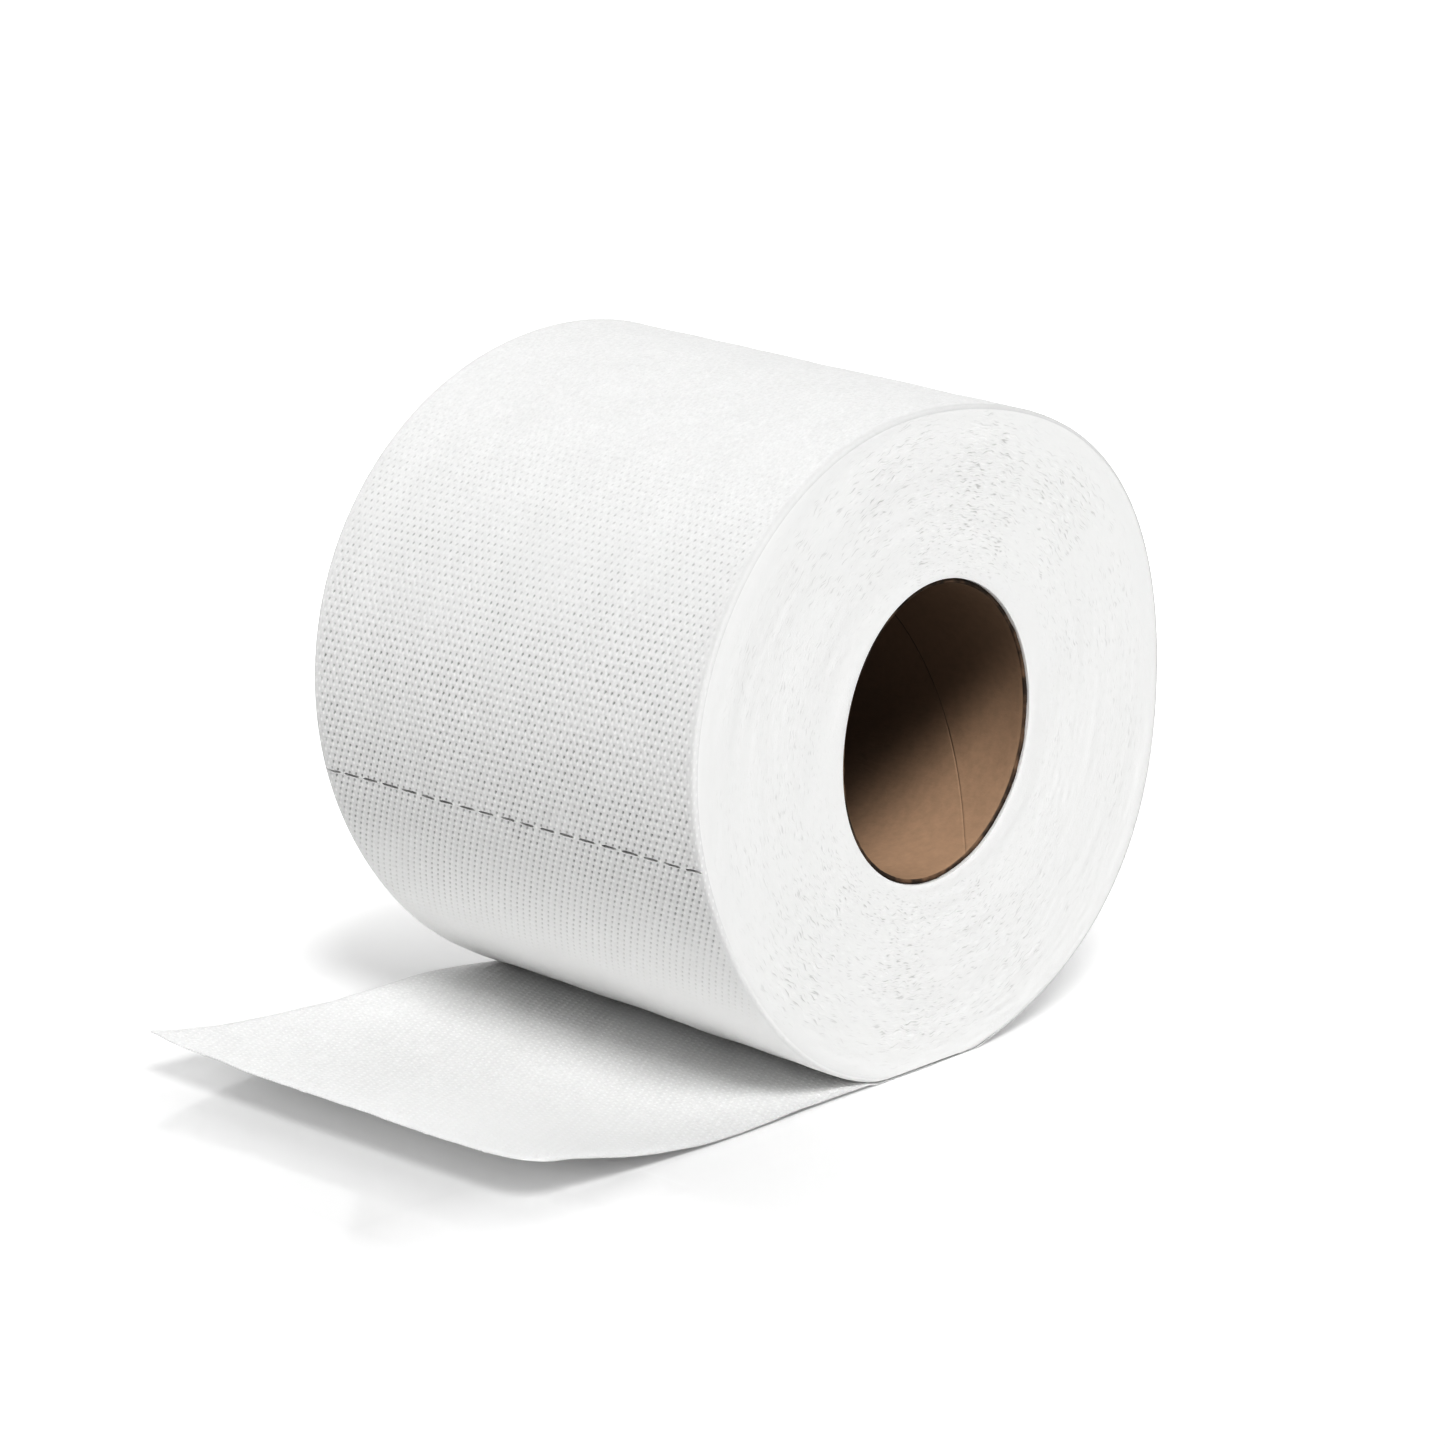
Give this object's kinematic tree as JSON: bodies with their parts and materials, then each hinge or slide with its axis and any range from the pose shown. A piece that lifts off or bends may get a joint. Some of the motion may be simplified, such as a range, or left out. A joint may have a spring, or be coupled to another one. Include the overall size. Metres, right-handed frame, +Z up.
{
  "type": "toilet paper roll",
  "caption": "Toilet paper roll on a cardboard core, lying on its side with its free end run out over the ground.",
  "frame": {"origin": "middle of the core's bore, on the roll's axis", "axes": "+Y along the roll's axis, +Z up, and the tail leaves the bottom of the roll towards -X"},
  "size_m": [0.1545, 0.09, 0.1156],
  "materials": {
    "tissue_paper": "soft white tissue with a fine embossed dot pattern, matt",
    "core_board": "brown recycled board, spirally wound, matt with a faint sheen"
  },
  "bodies": {
    "root": {"paper": "tissue_paper", "core_tube": "core_board"}
  },
  "joints": []
}
